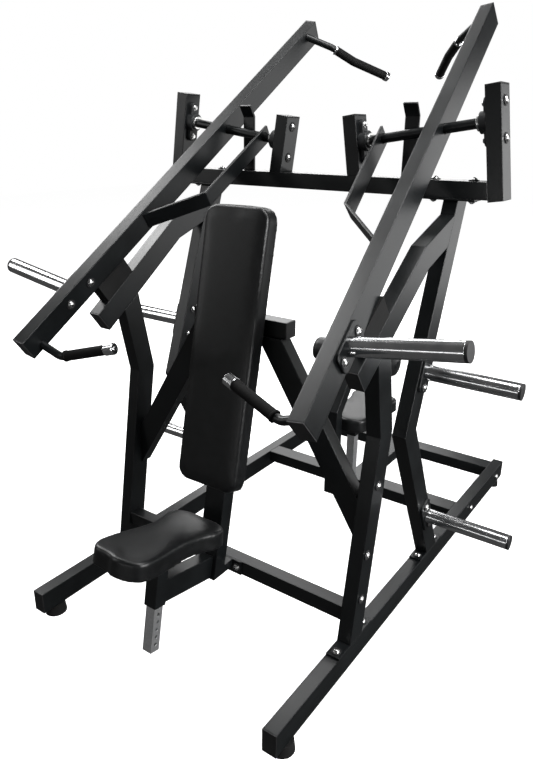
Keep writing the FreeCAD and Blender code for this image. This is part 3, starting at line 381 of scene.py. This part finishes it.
def ring_profile(inner, outer, start, end, round_off):
    """A ring's section with chamfered outer edges."""
    return ((start, inner), (start, outer - round_off), (start + round_off, outer),
            (end - round_off, outer), (end, outer - round_off), (end, inner))


def hexagon(build, centre, axis, across, height):
    """A hexagonal prism that stands on a point, its top edge slightly chamfered."""
    axis = axis.normalized()
    side = axis.orthogonal().normalized()
    other = axis.cross(side)
    radius = across / math.sqrt(3)
    rows = []
    for along, size in ((0.0, radius), (height * 0.8, radius), (height, radius * 0.88)):
        rows.append([build.verts.new(centre + axis * along + (side * math.cos(i * math.pi / 3)
                     + other * math.sin(i * math.pi / 3)) * size) for i in range(6)])
    build.faces.new(rows[0])
    build.faces.new(rows[-1])
    for low, high in zip(rows, rows[1:]):
        for i in range(6):
            j = (i + 1) % 6
            build.faces.new((low[i], low[j], high[j], high[i]))


def lever_frame(side):
    """A lever's pivot and its directions: outwards along the shaft, to the rear along it, and up from it."""
    joint = JOINTS[side + "_lever_swing"]
    pivot = Vector(joint["pos_m"])
    outward = Vector(joint["axis"]).normalized()
    if outward.x * SIDES[side] < 0:
        outward.negate()
    rise = Vector((-outward.z * SIDES[side], 0, outward.x * SIDES[side]))
    along = Vector((0, math.cos(LEVER_SLOPE), 0)) + rise * math.sin(LEVER_SLOPE)
    up = Vector((0, -math.sin(LEVER_SLOPE), 0)) + rise * math.cos(LEVER_SLOPE)
    return pivot, outward, rise, along, up


# ---------------------------------------------------------------- upholstery

def pressed_pad(node_name, body, pinned):
    """A cushion blown up by cloth simulation, its backing held flat.

    pinned says which points stay where they are.
    """
    source = NODES[node_name]
    piece = bpy.data.objects.new("soft_" + node_name, source.data.copy())
    bpy.context.scene.collection.objects.link(piece)
    bpy.context.view_layer.objects.active = piece
    for item in bpy.context.selected_objects:
        item.select_set(False)
    piece.select_set(True)
    remesh = piece.modifiers.new("Remesh", "REMESH")
    remesh.mode = "VOXEL"
    remesh.voxel_size = PAD_VOXEL
    bpy.ops.object.modifier_apply(modifier=remesh.name)
    mesh = piece.data
    soften(mesh, 2)
    if node_name == "front_seat_pad":
        fill_front(mesh)
    normals = [vertex.normal.copy() for vertex in mesh.vertices]
    held = [index for index, vertex in enumerate(mesh.vertices) if pinned(vertex.co)]
    still = set(held)
    for index, vertex in enumerate(mesh.vertices):
        if index not in still:
            vertex.co -= normals[index] * PAD_SHRINK
    start = [vertex.co.copy() for vertex in mesh.vertices]
    blow_up(piece, held)
    moves = []
    for vertex, before in zip(mesh.vertices, start):
        moved = vertex.co - before
        moves.append(moved * min(1.0, PAD_SWELL / max(moved.length, 1e-9)))
    for vertex, before, moved in zip(mesh.vertices, start, even_out(mesh, moves, held)):
        vertex.co = before + Vector(moved)
    soften(mesh, 2)
    subdivide = piece.modifiers.new("Subdivide", "SUBSURF")
    subdivide.levels = 1
    subdivide.render_levels = 1
    bpy.ops.object.modifier_apply(modifier=subdivide.name)
    mesh.polygons.foreach_set("use_smooth", [True] * len(mesh.polygons))
    mesh.materials.clear()
    mesh.materials.append(MATERIALS["vinyl"])
    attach(piece, body)
    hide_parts(node_name)
    return piece


def fill_front(mesh):
    """Fills the shallow hollow in the middle of the front seat's leading edge."""
    front = min(vertex.co.y for vertex in mesh.vertices)
    for vertex in mesh.vertices:
        across = max(0.0, 1 - abs(vertex.co.x) / FRONT_FILL_HALF)
        reach = max(0.0, 1 - (vertex.co.y - front) / FRONT_FILL_REACH)
        vertex.co.y -= FRONT_FILL * across * across * (3 - 2 * across) * reach * (2 - reach)


def even_out(mesh, moves, held):
    """Averages each point's move with its neighbours', so that the swelling leaves no creases."""
    moves = np.array([tuple(moved) for moved in moves])
    ends = np.array([tuple(edge.vertices) for edge in mesh.edges])
    neighbours = np.bincount(ends.ravel(), minlength=len(moves))[:, None]
    for _ in range(EVENING_ROUNDS):
        total = np.zeros_like(moves)
        np.add.at(total, ends[:, 0], moves[ends[:, 1]])
        np.add.at(total, ends[:, 1], moves[ends[:, 0]])
        moves = (moves + total / np.maximum(neighbours, 1)) / 2
        moves[held] = 0.0
    return moves


def soften(mesh, rounds):
    """Relaxes the steps that a voxel remesh leaves."""
    build = bmesh.new()
    build.from_mesh(mesh)
    for _ in range(rounds):
        bmesh.ops.smooth_vert(build, verts=build.verts, factor=0.5, use_axis_x=True, use_axis_y=True,
                              use_axis_z=True)
    build.to_mesh(mesh)
    build.free()


def blow_up(piece, held):
    """Runs the cloth with pressure inside and its held points pinned, and keeps the last frame."""
    group = piece.vertex_groups.new(name="held")
    group.add(held, 1.0, "REPLACE")
    cloth = piece.modifiers.new("Cloth", "CLOTH")
    settings = cloth.settings
    settings.use_pressure = True
    settings.uniform_pressure_force = PAD_PRESSURE
    settings.effector_weights.gravity = 0.0
    settings.vertex_group_mass = group.name
    settings.quality = 5
    scene = bpy.context.scene
    for number in range(1, PAD_FRAMES + 1):
        scene.frame_set(number)
    bpy.ops.object.modifier_apply(modifier=cloth.name)
    scene.frame_set(1)


def build_pads():
    """The leaning back cushion and the two contoured seats."""
    for node_name, body, backing in (("backrest_pad", "frame", Vector((0, 1, 0))),
                                     ("front_seat_pad", "front_seat", Vector((0, 0, -1))),
                                     ("rear_seat_pad", "rear_seat", Vector((0, 0, -1)))):
        centre, normal = flat_side(NODES[node_name], backing)
        pressed_pad(node_name, body,
                    lambda point, at=centre, out=normal: out.dot(point - at) > -BACKING_DEPTH)


def flat_side(node, direction):
    """A point and the normal of a pad's largest flat face that looks in a direction."""
    faces = [face for face in node.data.polygons if face.normal.dot(direction) > 0.95]
    largest = max(faces, key=lambda face: face.area)
    return Vector(largest.center), Vector(largest.normal)


def build_rollers():
    """Foam thigh rollers: crowned, with a stitched seam near each end and a dished end."""
    low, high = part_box("thigh_pads")
    centre_y = (low.y + high.y) / 2
    centre_z = (low.z + high.z) / 2
    radius = (high.z - low.z) / 2
    inner = TUBE_WIDTH / 2 + ROLLER_SIDE_GAP
    length = high.x - inner
    for side, sign in SIDES.items():
        build = bmesh.new()
        end = [(0.0, SHAFT_RADIUS), (0.004, radius * 0.45), (0.003, radius * 0.80), (0.007, radius * 0.93),
               (0.014, radius * 0.985), (0.0165, radius * 0.972), (0.019, radius * 0.99)]
        crown = []
        for i in range(ROLLER_CROWN_STEPS + 1):
            t = i / ROLLER_CROWN_STEPS
            along = ROLLER_HEM + (length - 2 * ROLLER_HEM) * t
            crown.append((along, radius * (0.99 + 0.01 * math.sin(math.pi * t))))
        profile = end + crown + [(length - along, size) for along, size in reversed(end)]
        centre = Vector((sign * inner, centre_y, centre_z))
        spin_profile(build, profile, centre, Vector((sign, 0, 0)), steps=72)
        piece = new_piece("thigh_roller_" + side, build, "vinyl", "frame")
        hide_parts("thigh_pads")


# ---------------------------------------------------------------- bolts, washers and painted socket shade

def islands(mesh):
    """The separate solids of a mesh, as lists of faces."""
    build = bmesh.new()
    build.from_mesh(mesh)
    bmesh.ops.remove_doubles(build, verts=build.verts, dist=1e-5)
    seen = set()
    found = []
    build.faces.ensure_lookup_table()
    for face in build.faces:
        if face.index in seen:
            continue
        stack = [face]
        seen.add(face.index)
        members = []
        while stack:
            item = stack.pop()
            members.append((item.normal.copy(), item.calc_area(), item.calc_center_median()))
            for edge in item.edges:
                for other in edge.link_faces:
                    if other.index not in seen:
                        seen.add(other.index)
                        stack.append(other)
        found.append(members)
    build.free()
    return found


def seats_of_bolts(node_name):
    """Where each bolt of a node sits, and which way its head faces, from its flat underside."""
    seats = []
    for members in islands(NODES[node_name].data):
        flats = {}
        for normal, area, centre in members:
            key = tuple(round(value, 2) for value in normal)
            total, weighted, _ = flats.get(key, (0.0, Vector(), normal))
            flats[key] = (total + area, weighted + centre * area, normal)
        total, weighted, normal = max(flats.values(), key=lambda item: item[0])
        seats.append((weighted / total, -normal))
    return seats


def build_washers():
    """Black washers round the bolt heads, and in each head a black hexagon, painted shade where the socket recess
    would be.
    """
    ring = ring_profile(WASHER_INNER, WASHER_OUTER, 0.0, WASHER_HEIGHT, WASHER_CHAMFER)
    for node_name, body in (("frame_bolts", "frame"), ("lever_bolts_left", "left_lever"),
                            ("lever_bolts_right", "right_lever")):
        rings = bmesh.new()
        socket_shade = bmesh.new()
        for seat, axis in seats_of_bolts(node_name):
            spin_profile(rings, ring, seat, axis, steps=28)
            # a black hexagon sunk into the head top: painted shade for the socket recess
            hexagon(socket_shade, seat + axis * (HEAD_TOP - SOCKET_SHADE_SUNK), axis, SOCKET_SHADE_ACROSS, SOCKET_SHADE_HEIGHT)
        new_piece("washers_" + node_name, rings, "black_plastic", body)
        new_piece("socket_shade_" + node_name, socket_shade, "black_plastic", body, smooth=False)


def build_bearing_bolts():
    """Hexagon bolts on washers and a locking collar on each flange bearing."""
    washer = ring_profile(0.0, BEARING_WASHER, 0.0, BEARING_WASHER_HEIGHT, 0.0004)
    ring = ring_profile(SHAFT_RADIUS + FINE_FIT, COLLAR_OUTER, 0.0, COLLAR_HEIGHT, 0.001)
    for side in SIDES:
        pivot, outward, rise, _, _ = lever_frame(side)
        bolts = bmesh.new()
        collars = bmesh.new()
        for face, into in ((-INNER_POST_FACE, outward), (OUTER_POST_FACE, -outward)):
            flange = pivot + outward * face + into * BEARING_LOBE
            for offset in (-BEARING_BOLTS, BEARING_BOLTS):
                spot = flange + rise * offset
                spin_profile(bolts, washer, spot, into, steps=24)
                hexagon(bolts, spot + into * BEARING_WASHER_HEIGHT, into, BEARING_HEAD_ACROSS,
                        BEARING_HEAD_HEIGHT)
            spin_profile(collars, ring, pivot + outward * face + into * COLLAR_FROM_POST, into)
        new_piece("bearing_bolts_" + side, bolts, "bolt_steel", "frame")
        new_piece("shaft_collars_" + side, collars, "bolt_steel", side + "_lever")


# ---------------------------------------------------------------- handles

def on_lever(side, point):
    """The place of a point (outwards, along, up) of a lever."""
    pivot, outward, _, along, up = lever_frame(side)
    return pivot + outward * point[0] + along * point[1] + up * point[2]


def build_handle_ends():
    """Rings where the grips begin, chrome on the pulldown handles, and chrome ends with a small screw."""
    ring = ring_profile(HANDLE_RADIUS + 2 * FINE_FIT, GRIP_RING_OUTER, -GRIP_RING_LENGTH, 0.0, 0.002)
    for side in SIDES:
        body = side + "_lever"
        for name, route, finish in (("press", PRESS_GRIP, "grip_rubber"), ("pull", PULL_GRIP, "chrome")):
            points = [on_lever(side, point) for point in route]
            first = (points[1] - points[0]).normalized()
            last = (points[-1] - points[-2]).normalized()
            collar = bmesh.new()
            spin_profile(collar, ring, points[0], first, steps=48)
            new_piece("%s_collar_%s" % (name, side), collar, finish, body)
            tip = bmesh.new()
            spin_profile(tip, end_profile(GRIP_END_LENGTH[name]), points[-1], last, steps=48)
            new_piece("%s_end_%s" % (name, side), tip, "chrome", body)


def end_profile(reach):
    """A grip end's section: a sleeve over the grip, a chamfered face and a screw head in its middle."""
    inner = GRIP_RADIUS + FINE_FIT
    outer = GRIP_END_OUTER
    return ((-reach, inner), (-reach, outer - 0.001), (-reach + 0.001, outer), (0.006, outer),
            (0.0085, outer - 0.003), (0.0085, 0.0065), (0.0115, 0.0055), (0.0125, 0.0), (0.0061, 0.0),
            (0.0061, inner))


# ---------------------------------------------------------------- floor, light and camera

def build_camera():
    """The camera, looking at the machine from its front right."""
    data = bpy.data.cameras.new("camera")
    data.sensor_width = 36.0
    data.lens = CAMERA_LENS
    camera = bpy.data.objects.new("camera", data)
    bpy.context.scene.collection.objects.link(camera)
    look = Vector((-math.sin(CAMERA_HEADING) * math.cos(CAMERA_DIP),
                   math.cos(CAMERA_HEADING) * math.cos(CAMERA_DIP), -math.sin(CAMERA_DIP)))
    level = look.cross(Vector((0, 0, 1))).normalized()
    upright = level.cross(look)
    right = level * math.cos(CAMERA_ROLL) + upright * math.sin(CAMERA_ROLL)
    top = right.cross(look)
    turn = Matrix((right, top, -look)).transposed().to_4x4()
    camera.matrix_world = Matrix.Translation(CAMERA_PLACE) @ turn
    bpy.context.scene.camera = camera


def area_light(name, place, target, size, power):
    """A soft rectangular light that faces a point."""
    data = bpy.data.lights.new(name, "AREA")
    data.shape = "RECTANGLE"
    data.size = size[0]
    data.size_y = size[1]
    data.energy = power
    light = bpy.data.objects.new(name, data)
    bpy.context.scene.collection.objects.link(light)
    light.location = place
    light.rotation_euler = (Vector(target) - Vector(place)).to_track_quat("-Z", "Y").to_euler()


def build_floor():
    """A pale floor that glows faintly, so that it fades into the white room without a horizon."""
    build = bmesh.new()
    bmesh.ops.create_grid(build, x_segments=8, y_segments=8, size=FLOOR_REACH)
    mesh = bpy.data.meshes.new("floor")
    build.to_mesh(mesh)
    build.free()
    floor = bpy.data.objects.new("floor", mesh)
    bpy.context.scene.collection.objects.link(floor)
    material, tree, shader = new_material("floor_paper")
    fibres = noise(tree, 2.0, 3.0)
    ramp(tree, fibres.outputs["Fac"], ((0.3, (0.86, 0.86, 0.86)), (0.7, (0.90, 0.90, 0.90))),
         shader.inputs["Base Color"])
    shader.inputs["Roughness"].default_value = 0.9
    shader.inputs["Emission Color"].default_value = (1.0, 1.0, 1.0, 1.0)
    shader.inputs["Emission Strength"].default_value = FLOOR_GLOW
    mesh.materials.append(material)
    floor.visible_glossy = False
    floor.visible_diffuse = False


def build_room():
    """A room that looks white, but gives the machine much less light than the lamps do."""
    world = bpy.data.worlds.new("studio")
    world.use_nodes = True
    tree = world.node_tree
    background = tree.nodes["Background"]
    background.inputs["Color"].default_value = (1.0, 1.0, 1.0, 1.0)
    ray = tree.nodes.new("ShaderNodeLightPath")
    spread(tree, ray.outputs["Is Camera Ray"], ROOM_LIGHT, 1.0, background.inputs["Strength"])
    bpy.context.scene.world = world
    for light in LIGHTS:
        area_light(*light)
    bpy.context.scene.view_settings.view_transform = "Standard"


build_pads()
build_rollers()
build_washers()
build_bearing_bolts()
build_handle_ends()
build_camera()
build_floor()
build_room()
